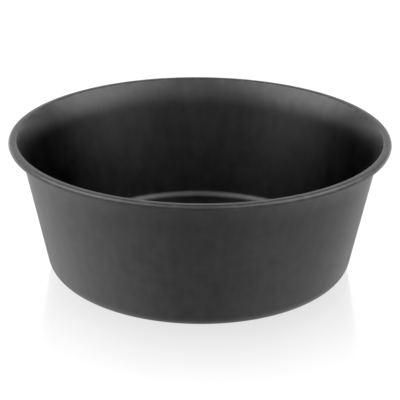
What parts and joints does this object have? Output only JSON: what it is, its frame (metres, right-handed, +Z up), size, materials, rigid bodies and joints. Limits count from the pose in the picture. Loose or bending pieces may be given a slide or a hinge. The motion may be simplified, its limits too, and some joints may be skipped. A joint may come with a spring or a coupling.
{
  "type": "hair color bowl",
  "caption": "Round tint mixing bowl with a straight flared wall, a turned-out lip and a rubber non-slip ring under its foot.",
  "frame": {"origin": "centre of the non-slip ring's underside, where the bowl's axis meets the table", "axes": "+Z up along the bowl's axis of revolution; X and Y are any two horizontal directions, because the bowl is round"},
  "size_m": [0.14, 0.14, 0.0515],
  "materials": {
    "bowl_plastic": "satin, fine moulded grain",
    "ring_rubber": "matte"
  },
  "bodies": {
    "root": {"bowl": "bowl_plastic", "non_slip_ring": "ring_rubber"}
  },
  "joints": []
}
